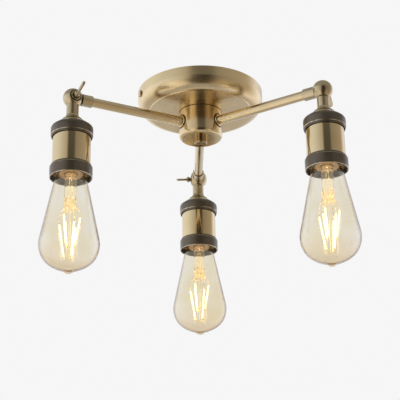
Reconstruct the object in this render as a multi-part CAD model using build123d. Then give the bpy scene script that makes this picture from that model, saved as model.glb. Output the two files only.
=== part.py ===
from build123d import *

import math
import os

# Semi flush ceiling light with three arms. Millimetres, +Z up. The origin is the
# centre of the plane that lies against the ceiling. Each arm is modelled pointing
# along +X and then turned about Z to its own azimuth.

# ---------------------------------------------------------------- driving sizes
# Ceiling canopy, a spun cup
canopy_radius = 71.0
canopy_depth = 24.0
canopy_wall = 1.0
canopy_corner_radius = 12.5
canopy_step = 0.9  # how far the flat centre plate stands below the rounded rim

# Ceiling bracket, a steel strap with an ear bent down at each end
bracket_azimuth = 17.5
bracket_thickness = 1.6
bracket_width = 20.0
bracket_screw_circle = 51.0
bracket_screw_hole_radius = 2.25
cable_hole_radius = 6.0
ear_width = 12.0
ear_depth = 13.5
side_screw_depth = 9.5
side_screw_radius = 2.0
side_screw_head_radius = 4.0
side_screw_head_height = 2.0
side_screw_head_round = 1.2
side_screw_slot = (1.0, 0.8)  # width and depth
side_screw_stand = 1.0  # how far the screw stands in past its ear

# Terminal block on a tab of the bracket
block_length = 30.0
block_width = 17.0
block_height = 11.0
block_offset = 31.0
block_screw_radius = 1.7
block_screw_sink = 1.0
block_screw_slot = (0.6, 0.5)  # width and depth
block_clamp_gap = 1.0  # between a lead and its clamp screw
block_corner_radius = 1.5
entry_pitch = 4.6

# Hub, centre rod and finial
hub_radius = 24.4
hub_bottom = 56.2
hub_wall = 3.2
hub_edge_radius = 3.4
rod_radius = 4.0
rod_rise = 9.0  # how far the rod stands above the canopy's plate
rod_nut_across_flats = 13.0
rod_nut_height = 5.0
finial_radius = 7.4
finial_height = 6.4
finial_chamfer = 1.3
finial_dish_radius = 4.9
finial_dish_depth = 0.6

# Arms
arm_azimuths = {"back": 90.0, "left": 206.5, "right": 326.0}  # as photographed, not quite even
arm_reach = 156.4  # hub axis to the centre of each knuckle ball
arm_drop = 39.3  # ceiling plane down to the arms' axis
tube_radius = 5.2
tube_wall = 1.0
ferrule_radius = 6.8
ferrule_length = 4.0
ferrule_stand = 0.9  # how far the ferrule stands out of the hub
ferrule_chamfer = 0.5
arm_seat_gap = 0.5  # dark ring between ferrule and hub
arm_nut_across_flats = 14.0
arm_nut_height = 2.8
arm_thread_stand = 0.6  # how far the tube stands out of its nut

# Knuckles: a ball split across the clamp screw, one half on the arm, one on the head
ball_radius = 10.85
ball_cavity_radius = 6.4
ball_flat_offset = 8.1
ball_recess_radius = 6.6
ball_recess_depth = 0.9
neck_radius = 6.7
neck_drop = 21.0
collar_radius = 6.65
collar_reach = 22.5
collar_chamfer = 0.7
tube_seat_length = 9.0
relief_radius = 11.9  # necks are cut back to this sphere beside the other half
boss_radius = 3.6
boss_end_offset = 3.0
wire_bore_radius = 3.9

# Thumb levers that clamp the knuckles
shank_radius = 2.0
lever_flange_radius = 5.4
lever_flange_height = 1.5
lever_stub_radius = 3.4
lever_stub_length = 4.6
lever_stub_chamfer = 1.4
lever_waist_radius = 2.7
lever_waist_length = 1.2
lever_tongue_width = 5.8
lever_tongue_thickness = 2.5
lever_tongue_length = 15.0
lever_tongue_round = 0.6
lever_tongue_sink = 1.0  # how far the tongue sits below the stub's axis
lever_shank_gap = 0.4  # between the clamp screw's tip and the far half ball
lever_slope = 34.0  # degrees between the tongue and the clamp screw
lever_turns = {"back": -115.0, "left": -16.0, "right": 204.0}

# Lampholders, depths below the ball's centre
collar_ring_depth = 6.0
collar_ring_radius = 11.6
collar_ring_top_radius = 7.3
collar_ring_rim = 0.8
collar_ring_rounds = (0.5, 0.4)  # top and rim
cap_radius = 22.8
cap_shoulder_top = 24.6
cap_shoulder_bottom = 36.0
cap_bottom = 47.7
cap_wall = 1.5
cap_thread_length = 10.0
cap_top_radius = 11.0
cap_top_round = 1.5
cap_shoulder_round = 2.2
cap_rim_rounds = (0.5, 0.3)  # outer and inner
body_radius = 20.5
body_wall = 0.8
body_end_gap = 1.0  # between the sleeve's top and the cap's inner shoulder
ring_radius = 22.85
ring_top = 80.1
ring_height = 14.4
ring_wall = 1.6
ring_thread_length = 8.5
ring_top_round = 0.9
ring_rim_round = 0.5
insulator_wall = 5.0
insulator_seat = 7.4  # length of the neck's spigot held in the insulator
insulator_floor = 5.0
insulator_rise = 1.5  # its lower rim above the bulb cap's rim
spigot_radius = 4.9
spigot_length = 24.0
spigot_bore_radius = 3.4
shell_wall = 0.7
centre_contact_radius = 5.0
centre_contact_height = 1.4
contact_spring_height = 9.0  # from the insulator's floor to the bulb cap's button
contact_gap = 2.0  # between the centre contact and the screw shell
shell_recess = 0.5  # how far the screw shell stands in from the insulator's rim

# Bulbs, an ST64 shape with an E27 cap
bulb_length = 141.9
bulb_radius = 32.0
bulb_slope_degrees = 11.9  # how steeply the sides taper towards the cap
bulb_shoulder_drop = 12.9  # from the cap's rim down to where the sides end
bulb_pip = (5.7, 2.8)  # radius and height of the pip's foot, measured up from the tip
bulb_underside = ((13.7, 6.2), (20.9, 10.2), (27.0, 16.0), (30.6, 23.2))
bulb_widest_height = 31.4
bulb_taper_start = (31.25, 38.8)
bulb_wall = 0.8
cap_shell_radius = 13.2
cap_shell_wall = 0.5
cap_insulator_wall = 1.5
cap_length = 27.0
cap_cone_height = 5.0
cap_button_radius = 4.8
cap_button_height = 1.3
glass_neck_length = 7.0

# Inside the bulb: stem, centre rod, filament sticks
stem_radius = 6.4
stem_length = 36.0
stem_wall = 1.0
pinch_length = 7.0
pinch_thickness = 4.0
pinch_blend = 3.0  # height of the taper from tube to pinch
flare_blend = 4.0  # height of the taper from flare to tube
flare_gap = 1.0  # between the flare's ends and the glass neck's ends
pillar_radius = 1.0
pillar_tail = 2.0  # how far the pillar runs below the lowest stick
stick_radius = 0.9
stick_wire_radius = 0.35
stick_wire_sink = 0.6  # how deep a support wire is fused into the pinch
stick_wire_anchor = 2.0  # height of that point above the pinch's end
stick_wire_drop = 1.5  # fall of the lower wire from stick to pillar
stick_count = 6
stick_top_radius = 11.0
upper_stick_heights = (66.0, 34.0)  # top and bottom, up from the tip
lower_stick_heights = (52.0, 17.5)
upper_stick_foot_radius = 6.4
lower_stick_foot_radius = 5.2

# Leads
lead_radius = 0.9
lead_spacing = 2.1
lead_hole_circle = 13.6
lead_hole_radius = 3.2
lead_bend_radius = 3.0
lead_exit = 1.0  # straight run between the terminal block and the first bend
lead_tail = 2.0  # how far a lead runs past the insulator's floor
lead_order = ("left", "back", "right")  # order of the arms along the terminal block

# Clearances
running = 0.05
slip = 0.1
loose = 0.3
overrun = 1.0  # how far a cut runs past the face that it opens


# ---------------------------------------------------------------- shape helpers
def spun(points, radii=None):
    """Solid turned about Z from a closed outline of (radius, height) corners."""
    corners = [(r, 0, z) for r, z in points]
    if radii is None:
        outline = Polyline(*corners, close=True)
    else:
        outline = FilletPolyline(*corners, radius=radii, close=True)
    return revolve(make_face(outline), Axis.Z)


def rod(start, end, radius):
    """Round bar between two points."""
    begin = Vector(*start)
    along = Vector(*end) - begin
    return Plane(origin=begin, z_dir=along) * Cylinder(
        radius, along.length, align=(Align.CENTER, Align.CENTER, Align.MIN)
    )


def hex_nut(across_flats, height, bore):
    """Hexagon nut standing on the XY plane."""
    blank = extrude(RegularPolygon(across_flats / 2, 6, major_radius=False), height)
    return blank - rod((0, 0, -overrun), (0, 0, height + overrun), bore)


def lead(points, bend):
    """Insulated conductor along straight runs joined by tangent arcs."""
    if len(points) > 2:
        route = FilletPolyline(*points, radius=bend)
    else:
        route = Line(*points)
    start = Plane(origin=route @ 0, z_dir=route % 0)
    return sweep(start * Circle(lead_radius), path=route)


def turned(shape, azimuth):
    """A copy of an arm's piece, turned from +X to its azimuth."""
    return Rot(0, 0, azimuth) * shape


def at_ball(shape):
    """Moves a piece modelled about a ball's centre out to the end of the arm."""
    return Pos(arm_reach, 0, -arm_drop) * shape


def half_space(side, start):
    """Everything further than start to one side of the split plane, +1 for the head's."""
    size = 4 * relief_radius
    return Pos(0, side * (size / 2 + start), 0) * Box(size, size, size)


def polar_point(radius, side, level, azimuth):
    """A point given by its reach along an arm, its offset across it and its level."""
    angle = math.radians(azimuth)
    x = radius * math.cos(angle) - side * math.sin(angle)
    y = radius * math.sin(angle) + side * math.cos(angle)
    return (x, y, level)


# ---------------------------------------------------------------- canopy
plate_depth = canopy_depth
rim_depth = canopy_depth - canopy_step
corner_centre = canopy_radius - canopy_corner_radius
straight_depth = rim_depth - canopy_corner_radius
inner_corner_radius = canopy_corner_radius - canopy_wall
canopy_inner_radius = canopy_radius - canopy_wall


def canopy_reach(depth):
    """Inside radius of the canopy at a depth below the ceiling."""
    into_corner = max(depth - straight_depth, 0)
    return corner_centre + math.sqrt(inner_corner_radius**2 - into_corner**2)


def make_canopy():
    outer_corner = canopy_corner_radius * math.sqrt(0.5)
    inner_corner = inner_corner_radius * math.sqrt(0.5)
    outline = [
        Line((canopy_inner_radius, 0, 0), (canopy_radius, 0, 0)),
        Line((canopy_radius, 0, 0), (canopy_radius, 0, -straight_depth)),
        ThreePointArc(
            (canopy_radius, 0, -straight_depth),
            (corner_centre + outer_corner, 0, -straight_depth - outer_corner),
            (corner_centre, 0, -rim_depth),
        ),
        Polyline(
            (corner_centre, 0, -rim_depth),
            (corner_centre - canopy_step / 2, 0, -plate_depth),
            (0, 0, -plate_depth),
            (0, 0, -plate_depth + canopy_wall),
            (corner_centre - canopy_step / 2 - canopy_wall / 2, 0, -plate_depth + canopy_wall),
            (corner_centre, 0, -rim_depth + canopy_wall),
        ),
        ThreePointArc(
            (corner_centre, 0, -rim_depth + canopy_wall),
            (corner_centre + inner_corner, 0, -straight_depth - inner_corner),
            (canopy_inner_radius, 0, -straight_depth),
        ),
        Line((canopy_inner_radius, 0, -straight_depth), (canopy_inner_radius, 0, 0)),
    ]
    cup = revolve(make_face(outline), Axis.Z)
    cup -= rod((0, 0, -plate_depth - overrun), (0, 0, 0), rod_radius + slip)
    for azimuth in arm_azimuths.values():
        hole = rod((lead_hole_circle, 0, -plate_depth - overrun), (lead_hole_circle, 0, 0), lead_hole_radius)
        cup -= turned(hole, azimuth)
    side_hole = rod(
        (-2 * canopy_radius, 0, -side_screw_depth),
        (2 * canopy_radius, 0, -side_screw_depth),
        side_screw_radius + slip,
    )
    return cup - turned(side_hole, bracket_azimuth)


# ---------------------------------------------------------------- bracket and screws
ear_outer = math.sqrt((canopy_reach(ear_depth) - loose) ** 2 - (ear_width / 2) ** 2)
block_top = bracket_thickness


def make_bracket():
    down = (Align.CENTER, Align.CENTER, Align.MAX)
    strap = Box(2 * ear_outer, bracket_width, bracket_thickness, align=down)
    for side in (-1, 1):
        ear = Pos(side * (ear_outer - bracket_thickness / 2), 0, 0) * Box(
            bracket_thickness, ear_width, ear_depth, align=down
        )
        strap += ear
        trim = Pos(side * ear_outer, 0, 0) * Box(
            2 * (ear_outer - bracket_screw_circle), 2 * bracket_width, ear_depth, align=down
        )
        keep = Pos(side * ear_outer, 0, 0) * Box(
            2 * (ear_outer - bracket_screw_circle), ear_width, ear_depth, align=down
        )
        strap -= trim - keep
        screw_x = side * bracket_screw_circle / 2
        strap -= rod((screw_x, 0, -2 * bracket_thickness), (screw_x, 0, overrun), bracket_screw_hole_radius)
    tab_depth = block_offset + block_width / 2 - bracket_width / 2
    tab = Pos(0, bracket_width / 2 + tab_depth / 2, 0) * Box(
        block_length, tab_depth, bracket_thickness, align=down
    )
    strap += tab
    strap -= rod((0, 0, -2 * bracket_thickness), (0, 0, overrun), cable_hole_radius)
    strap -= rod(
        (-2 * ear_outer, 0, -side_screw_depth),
        (2 * ear_outer, 0, -side_screw_depth),
        side_screw_radius + running,
    )
    return turned(strap, bracket_azimuth)


def make_canopy_screws():
    """Two pan-head screws through the canopy's wall into the bracket's ears."""
    tip = ear_outer - bracket_thickness - side_screw_stand
    shank = rod((tip, 0, 0), (canopy_radius + side_screw_head_height / 2, 0, 0), side_screw_radius)
    head = spun(
        [
            (0, 0),
            (side_screw_head_radius, 0),
            (side_screw_head_radius, side_screw_head_height),
            (0, side_screw_head_height),
        ],
        [0, 0, side_screw_head_round, 0],
    )
    slot_width, slot_depth = side_screw_slot
    slot = Pos(0, 0, side_screw_head_height) * Box(3 * side_screw_head_radius, slot_width, 2 * slot_depth)
    seat = canopy_radius + running
    head = Plane(origin=(seat, 0, 0), z_dir=(1, 0, 0)) * (head - slot)
    screw = Pos(0, 0, -side_screw_depth) * (shank + head)
    return [turned(screw, bracket_azimuth), turned(screw, bracket_azimuth + 180)]


def entry_points():
    """Where the leads enter the terminal block's near face, two for each arm."""
    count = 2 * len(arm_azimuths)
    return [(index - (count - 1) / 2) * entry_pitch for index in range(count)]


def make_terminal_block():
    near = block_offset - block_width / 2
    block = Pos(0, block_offset, -block_top) * Box(
        block_length, block_width, block_height, align=(Align.CENTER, Align.CENTER, Align.MAX)
    )
    block = fillet(block.edges().filter_by(Axis.Z), block_corner_radius)
    for x in entry_points():
        level = -block_top - block_height / 2
        block -= rod((x, near - overrun, level), (x, near + block_width / 2, level), lead_radius + slip)
        block -= rod(
            (x, block_offset, -block_top - block_height - overrun),
            (x, block_offset, level - lead_radius - slip - block_clamp_gap),
            block_screw_radius + slip,
        )
    return turned(block, bracket_azimuth)


def make_terminal_screws():
    screws = []
    for x in entry_points():
        bottom = -block_top - block_height
        top = bottom + block_height / 2 - lead_radius - slip - block_clamp_gap
        screw = rod((x, block_offset, bottom + block_screw_sink), (x, block_offset, top), block_screw_radius)
        slot_width, slot_depth = block_screw_slot
        slot = Pos(x, block_offset, bottom + block_screw_sink) * Box(
            3 * block_screw_radius, slot_width, 2 * slot_depth
        )
        screws.append(turned(screw - slot, bracket_azimuth))
    return screws


# ---------------------------------------------------------------- hub, rod, finial
hub_inner_radius = hub_radius - hub_wall
hub_floor = hub_bottom - hub_wall
arm_seat = math.sqrt(hub_radius**2 - (ferrule_radius + arm_seat_gap) ** 2) - ferrule_length / 2
arm_nut_corner = arm_nut_across_flats / math.sqrt(3)
arm_nut_seat = math.sqrt(hub_inner_radius**2 - arm_nut_corner**2) - slip
tube_inner_end = arm_nut_seat - arm_nut_height - arm_thread_stand
tube_bore_radius = tube_radius - tube_wall


def make_hub():
    shell = spun(
        [
            (hub_inner_radius, -plate_depth),
            (hub_radius, -plate_depth),
            (hub_radius, -hub_bottom),
            (rod_radius + slip, -hub_bottom),
            (rod_radius + slip, -hub_floor),
            (hub_inner_radius, -hub_floor),
        ],
        [0, 0, hub_edge_radius, 0, 0, hub_edge_radius / 2],
    )
    for azimuth in arm_azimuths.values():
        hole = rod((rod_radius * 2, 0, -arm_drop), (2 * hub_radius, 0, -arm_drop), tube_radius + running)
        seat = rod((arm_seat, 0, -arm_drop), (2 * hub_radius, 0, -arm_drop), ferrule_radius + arm_seat_gap)
        shell -= turned(hole, azimuth)
        shell -= turned(seat, azimuth)
    return shell


def make_centre_rod():
    """Threaded rod that clamps the hub to the canopy between nut and finial."""
    return rod((0, 0, -hub_bottom - finial_height / 2), (0, 0, -plate_depth + rod_rise), rod_radius)


def make_lock_nuts():
    rod_nut = Pos(0, 0, -plate_depth + canopy_wall) * hex_nut(
        rod_nut_across_flats, rod_nut_height, rod_radius + running
    )
    nuts = [rod_nut]
    blank = hex_nut(arm_nut_across_flats, arm_nut_height, tube_radius + running)
    for azimuth in arm_azimuths.values():
        place = Plane(origin=(arm_nut_seat, 0, -arm_drop), z_dir=(-1, 0, 0), x_dir=(0, 1, 0))
        nuts.append(turned(place * blank, azimuth))
    return nuts


def make_finial():
    knob = spun(
        [
            (0, -hub_bottom),
            (finial_radius, -hub_bottom),
            (finial_radius, -hub_bottom - finial_height + finial_chamfer),
            (finial_radius - finial_chamfer, -hub_bottom - finial_height),
            (0, -hub_bottom - finial_height),
        ]
    )
    tip = -hub_bottom - finial_height
    dish = rod((0, 0, tip - overrun), (0, 0, tip + finial_dish_depth), finial_dish_radius)
    bore = rod((0, 0, -hub_bottom + overrun), (0, 0, tip + finial_height / 2 - slip), rod_radius + running)
    return knob - dish - bore


# ---------------------------------------------------------------- arms
collar_end = arm_reach - collar_reach
tube_outer_end = collar_end + tube_seat_length


def make_arm_tube():
    outer = rod((tube_inner_end, 0, -arm_drop), (tube_outer_end, 0, -arm_drop), tube_radius)
    inner = rod(
        (tube_inner_end - overrun, 0, -arm_drop), (tube_outer_end + overrun, 0, -arm_drop), tube_bore_radius
    )
    return outer - inner


def make_arm_ferrule():
    end = hub_radius + ferrule_stand
    sleeve = rod((arm_seat, 0, -arm_drop), (end, 0, -arm_drop), ferrule_radius)
    bore = rod((arm_seat - overrun, 0, -arm_drop), (end + overrun, 0, -arm_drop), tube_radius + running)
    rim = sleeve.edges().filter_by(GeomType.CIRCLE).sort_by(Axis.X)[-1]
    return chamfer(rim, ferrule_chamfer) - bore


def make_arm_knuckle():
    """Half ball on the clamp screw's far side, with the collar that holds the arm."""
    collar = rod((-collar_reach, 0, 0), (0, 0, 0), collar_radius)
    rim = collar.edges().filter_by(GeomType.CIRCLE).sort_by(Axis.X)[0]
    collar = chamfer(rim, collar_chamfer) - Sphere(ball_cavity_radius)
    collar -= Sphere(relief_radius) & half_space(1, -running)
    ball = (Sphere(ball_radius) - Sphere(ball_cavity_radius)) & half_space(-1, running)
    boss = rod((0, -ball_flat_offset, 0), (0, -boss_end_offset, 0), boss_radius)
    casting = collar + ball + boss
    mouth = -collar_reach - overrun
    casting -= rod((mouth, 0, 0), (-boss_radius, 0, 0), wire_bore_radius)
    casting -= rod((mouth, 0, 0), (tube_seat_length - collar_reach, 0, 0), tube_radius + running)
    casting -= rod((0, -ball_flat_offset, 0), (0, ball_radius, 0), shank_radius + running)
    return casting


# ---------------------------------------------------------------- heads
spigot_end = neck_drop + spigot_length


def make_head_knuckle():
    """Half ball under the thumb lever, with the neck and its threaded spigot."""
    neck = rod((0, 0, 0), (0, 0, -neck_drop), neck_radius) - Sphere(ball_cavity_radius)
    neck -= Sphere(relief_radius) & half_space(-1, -running)
    ball = (Sphere(ball_radius) - Sphere(ball_cavity_radius)) & half_space(1, running)
    ball -= half_space(1, ball_flat_offset)
    spigot = rod((0, 0, -neck_drop + overrun), (0, 0, -spigot_end), spigot_radius)
    recess_floor = ball_flat_offset - ball_recess_depth
    casting = neck + ball + spigot
    casting -= rod((0, recess_floor, 0), (0, ball_radius, 0), ball_recess_radius)
    casting -= rod((0, 0, 0), (0, ball_radius, 0), shank_radius + running)
    casting -= rod((0, 0, -boss_radius), (0, 0, -spigot_end - overrun), spigot_bore_radius)
    return casting


def make_neck_ring():
    """Domed brass ring between the neck and the lampholder's cap."""
    top = -neck_drop
    bottom = top - collar_ring_depth
    bore = spigot_radius + slip
    return spun(
        [
            (bore, top),
            (collar_ring_top_radius, top),
            (collar_ring_radius, bottom + collar_ring_rim),
            (collar_ring_radius, bottom),
            (bore, bottom),
        ],
        [0, *collar_ring_rounds, 0, 0],
    )


def make_holder_cap():
    """Shouldered cap of the lampholder, threaded inside for the sleeve."""
    seat = -neck_drop - collar_ring_depth
    thread_bottom = -cap_shoulder_bottom - cap_thread_length
    thread_radius = body_radius + running
    bore = spigot_radius + slip
    return spun(
        [
            (bore, seat),
            (cap_top_radius, seat),
            (cap_radius, -cap_shoulder_bottom),
            (cap_radius, -cap_bottom),
            (cap_radius - cap_wall, -cap_bottom),
            (cap_radius - cap_wall, thread_bottom),
            (thread_radius, thread_bottom),
            (thread_radius, -cap_shoulder_bottom - cap_wall),
            (cap_top_radius, seat - 2 * cap_wall),
            (bore, seat - 2 * cap_wall),
        ],
        [0, cap_top_round, cap_shoulder_round, *cap_rim_rounds, 0, 0, 0, 0, 0],
    )


sleeve_top = cap_shoulder_bottom + cap_wall + body_end_gap
sleeve_bottom = ring_top + ring_thread_length
insulator_radius = body_radius - body_wall - slip
insulator_top = spigot_end - insulator_seat
floor_depth = spigot_end + insulator_floor
socket_radius = cap_shell_radius + running
cap_button_depth = floor_depth + contact_spring_height
cap_rim_depth = cap_button_depth + cap_length
bulb_tip_depth = cap_button_depth + bulb_length
insulator_bottom = cap_rim_depth - insulator_rise


def make_holder_body():
    """Polished sleeve of the lampholder, open at both ends."""
    inner = body_radius - body_wall
    return spun(
        [
            (inner, -sleeve_top),
            (body_radius, -sleeve_top),
            (body_radius, -sleeve_bottom),
            (inner, -sleeve_bottom),
        ]
    )


def make_shade_ring():
    """Lower ring, screwed onto the sleeve's outside thread."""
    bottom = -ring_top - ring_height
    thread = body_radius + running
    mouth = ring_radius - ring_wall
    return spun(
        [
            (thread, -ring_top),
            (ring_radius, -ring_top),
            (ring_radius, bottom),
            (mouth, bottom),
            (mouth, -sleeve_bottom),
            (thread, -sleeve_bottom),
        ],
        [0, ring_top_round, ring_rim_round, ring_rim_round, 0, 0],
    )


head_lead_offset = lead_radius + running + slip + loose  # clear of the arm's half ball


def head_lead_sides():
    """Offsets of a head's two leads either side of the neck's axis."""
    return (-lead_spacing / 2, lead_spacing / 2)


def make_head_leads():
    top = -ball_cavity_radius
    bottom = -spigot_end - lead_tail
    return [lead([(x, head_lead_offset, top), (x, head_lead_offset, bottom)], 0) for x in head_lead_sides()]


def make_socket_insulator():
    """Moulded inner of the lampholder, holding the thread shell and contact."""
    pocket = socket_radius + shell_wall + slip
    block = spun(
        [
            (0, -insulator_top),
            (insulator_radius, -insulator_top),
            (insulator_radius, -insulator_bottom),
            (insulator_radius - insulator_wall, -insulator_bottom),
            (pocket, -insulator_bottom),
            (pocket, -floor_depth),
            (0, -floor_depth),
        ]
    )
    block -= rod((0, 0, -insulator_top + overrun), (0, 0, -spigot_end - slip), spigot_radius + running)
    for x in head_lead_sides():
        block -= rod(
            (x, head_lead_offset, -insulator_top),
            (x, head_lead_offset, -spigot_end - lead_tail),
            lead_radius + running,
        )
    return block


def make_socket_contacts():
    """Screw shell and sprung centre contact."""
    outer = socket_radius + shell_wall
    inner = centre_contact_radius + contact_gap
    mouth = -insulator_bottom + shell_recess
    shell = spun(
        [
            (inner, -floor_depth),
            (outer, -floor_depth),
            (outer, mouth),
            (socket_radius, mouth),
            (socket_radius, -floor_depth - shell_wall),
            (inner, -floor_depth - shell_wall),
        ]
    )
    leaf_top = -cap_button_depth + centre_contact_height
    disc = rod((0, 0, -cap_button_depth), (0, 0, leaf_top), centre_contact_radius)
    leaf = rod((0, 0, leaf_top), (0, 0, -floor_depth), centre_contact_radius / 2)
    return [shell, disc + leaf]


# ---------------------------------------------------------------- thumb levers
def make_thumb_lever():
    """Clamp screw along +Y with a flange, a stub and an oblique flat tongue."""
    floor = ball_flat_offset - ball_recess_depth
    flange_top = floor + lever_flange_height
    stub_top = flange_top + lever_waist_length + lever_stub_length
    screw = rod((0, lever_shank_gap - ball_flat_offset, 0), (0, floor, 0), shank_radius)
    flange = rod((0, floor, 0), (0, flange_top, 0), lever_flange_radius)
    waist = rod((0, flange_top, 0), (0, flange_top + lever_waist_length, 0), lever_waist_radius)
    stub = rod((0, flange_top + lever_waist_length, 0), (0, stub_top, 0), lever_stub_radius)
    rims = stub.edges().filter_by(GeomType.CIRCLE)
    stub = chamfer(rims, lever_stub_chamfer)
    outline = SlotCenterToCenter(lever_tongue_length, lever_tongue_width)
    tongue = extrude(outline, lever_tongue_thickness / 2, both=True)
    tongue = fillet(tongue.edges().filter_by(Axis.Z, reverse=True), lever_tongue_round)
    slope = math.radians(lever_slope)
    along = (0, math.cos(slope), math.sin(slope))
    root = stub_top - lever_tongue_width / 2
    half = lever_tongue_length / 2
    middle = (0, root + half * along[1], half * along[2] - lever_tongue_sink)
    tongue = Plane(origin=middle, x_dir=along, z_dir=(1, 0, 0)) * tongue
    return screw + flange + waist + stub + tongue


# ---------------------------------------------------------------- bulbs
def bulb_height(height):
    """Level of a height measured up from the bulb's tip."""
    return height - bulb_tip_depth


glass_neck_radius = cap_shell_radius - cap_shell_wall - slip
glass_neck_top = -cap_rim_depth + glass_neck_length
taper = math.tan(math.radians(bulb_slope_degrees))


def belly_points(inset):
    """Spline points from the pip's foot round the belly, moved in by the wall."""
    widest = (bulb_radius, bulb_widest_height)
    path = [bulb_pip, *bulb_underside, widest, bulb_taper_start]
    moved = []
    for index, (radius, height) in enumerate(path):
        before = path[max(index - 1, 0)]
        after = path[min(index + 1, len(path) - 1)]
        run = math.hypot(after[0] - before[0], after[1] - before[1])
        inward = ((before[1] - after[1]) / run, (after[0] - before[0]) / run)
        moved.append((radius + inset * inward[0], 0, bulb_height(height + inset * inward[1])))
    return moved


def glass_solid(inset):
    """Everything within the glass outline, up to the end of its neck."""
    belly = belly_points(inset)
    taper_start = belly[-1]
    shoulder_level = -cap_rim_depth - bulb_shoulder_drop
    shoulder = (taper_start[0] - (shoulder_level - taper_start[2]) * taper, 0, shoulder_level)
    neck = glass_neck_radius - inset
    tip = (0, 0, bulb_height(inset))
    lift = (belly[1][0] - belly[0][0], 0, belly[1][2] - belly[0][2])
    outline = [
        TangentArc(tip, belly[0], tangent=(1, 0, 0)),
        Spline(*belly, tangents=[lift, (-taper, 0, 1)]),
        Polyline(
            taper_start,
            shoulder,
            (neck, 0, -cap_rim_depth),
            (neck, 0, glass_neck_top),
            (0, 0, glass_neck_top),
            tip,
        ),
    ]
    return revolve(make_face(outline), Axis.Z)


def make_bulb_glass():
    mouth_radius = glass_neck_radius - bulb_wall
    mouth = rod((0, 0, glass_neck_top - overrun), (0, 0, glass_neck_top + overrun), mouth_radius)
    return glass_solid(0) - glass_solid(bulb_wall) - mouth


def make_bulb_cap():
    """Screw shell and moulded cone of the E27 cap."""
    rim = -cap_rim_depth
    button = -cap_button_depth
    inner = cap_shell_radius - cap_shell_wall
    under_button = button - cap_button_height
    cone_bottom = under_button - cap_cone_height
    return spun(
        [
            (inner, rim),
            (cap_shell_radius, rim),
            (cap_shell_radius, cone_bottom),
            (cap_button_radius, under_button),
            (0, under_button),
            (0, under_button - cap_insulator_wall),
            (inner, cone_bottom - cap_insulator_wall),
        ]
    )


def make_bulb_contact():
    """Centre button of the cap."""
    button = -cap_button_depth
    return spun(
        [
            (0, button - cap_button_height),
            (cap_button_radius, button - cap_button_height),
            (cap_button_radius, button - cap_button_height / 2),
            (cap_button_radius / 2, button),
            (0, button),
        ]
    )


def stick_ends(index):
    """Top and bottom points of one filament stick; the sticks alternate in level."""
    upper = index % 2 == 0
    top_height, foot_height = upper_stick_heights if upper else lower_stick_heights
    foot_radius = upper_stick_foot_radius if upper else lower_stick_foot_radius
    angle = 2 * math.pi * index / stick_count
    top = (
        stick_top_radius * math.cos(angle),
        stick_top_radius * math.sin(angle),
        bulb_height(top_height),
    )
    foot = (foot_radius * math.cos(angle), foot_radius * math.sin(angle), bulb_height(foot_height))
    return top, foot, angle


pinch_top = -cap_rim_depth - stem_length
pinch_bottom = pinch_top - pinch_length
pillar_bottom = bulb_height(lower_stick_heights[1]) - pillar_tail


def make_filaments():
    """LED sticks on the wires that hold them to the pinch and the centre pillar."""
    pieces = []
    for index in range(stick_count):
        top, foot, angle = stick_ends(index)
        reach = pinch_thickness / 2 - stick_wire_sink
        anchor = (reach * math.cos(angle), reach * math.sin(angle), pinch_bottom + stick_wire_anchor)
        pillar_point = (0, 0, foot[2] - stick_wire_drop)
        piece = rod(top, foot, stick_radius)
        piece += Pos(*top) * Sphere(stick_radius) + Pos(*foot) * Sphere(stick_radius)
        piece += rod(anchor, top, stick_wire_radius)
        piece += rod(pillar_point, foot, stick_wire_radius)
        piece -= rod((0, 0, pinch_bottom), (0, 0, pillar_bottom), pillar_radius)
        solids = sorted(piece.solids(), key=lambda solid: -solid.volume)
        pieces.append(solids[0])
    return pieces


def make_bulb_stem():
    """Flared glass tube, its flat pinch and the thin pillar below it."""
    flare_radius = glass_neck_radius - bulb_wall - running
    flare_top = -cap_rim_depth + glass_neck_length - flare_gap
    flare_bottom = -cap_rim_depth + flare_gap
    tube_top = flare_bottom - flare_blend
    tube_bottom = pinch_top + pinch_blend
    inner = stem_radius - stem_wall
    pinch_radius = pinch_thickness / 2
    tube = spun(
        [
            (flare_radius - stem_wall, flare_top),
            (flare_radius, flare_top),
            (flare_radius, flare_bottom),
            (stem_radius, tube_top),
            (stem_radius, tube_bottom),
            (pinch_radius, pinch_top),
            (pinch_radius, pinch_bottom),
            (0, pinch_bottom),
            (0, tube_bottom),
            (inner, tube_bottom + pinch_blend),
            (inner, tube_top),
            (flare_radius - stem_wall, flare_bottom),
        ]
    )
    tube += rod((0, 0, pinch_bottom + stick_wire_anchor), (0, 0, pillar_bottom), pillar_radius)
    for wires in make_filaments():
        tube -= wires
    return max(tube.solids(), key=lambda solid: solid.volume)


# ---------------------------------------------------------------- leads in the fixture
arm_lead_offset = head_lead_offset  # clear of the head's half ball
lead_end = arm_reach - ball_cavity_radius


def make_arm_leads():
    """Two leads for each arm, from the terminal block down into the arm's tube."""
    leads = []
    level = -block_top - block_height / 2
    near = block_offset - block_width / 2
    entries = iter(entry_points())
    for arm in lead_order:
        azimuth = arm_azimuths[arm]
        for side in (-lead_spacing / 2, lead_spacing / 2):
            entry = next(entries)
            inside = near + block_width / 4
            outside = near - lead_bend_radius - lead_exit
            leads.append(
                lead(
                    [
                        polar_point(entry, inside, level, bracket_azimuth),
                        polar_point(entry, outside, level, bracket_azimuth),
                        polar_point(lead_hole_circle + side, -arm_lead_offset, level, azimuth),
                        polar_point(lead_hole_circle + side, -arm_lead_offset, -arm_drop + side, azimuth),
                        polar_point(lead_end, -arm_lead_offset, -arm_drop + side, azimuth),
                    ],
                    lead_bend_radius,
                )
            )
    return leads


# ---------------------------------------------------------------- assembly
def write(name, shapes):
    """Writes one node, as one solid or as a group of separate solids."""
    if isinstance(shapes, (list, tuple)):
        solids = [solid for shape in shapes for solid in shape.solids()]
        node = Compound(children=solids)
    else:
        node = shapes
    node.label = name
    export_step(node, f"parts/{name}.step")


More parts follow.
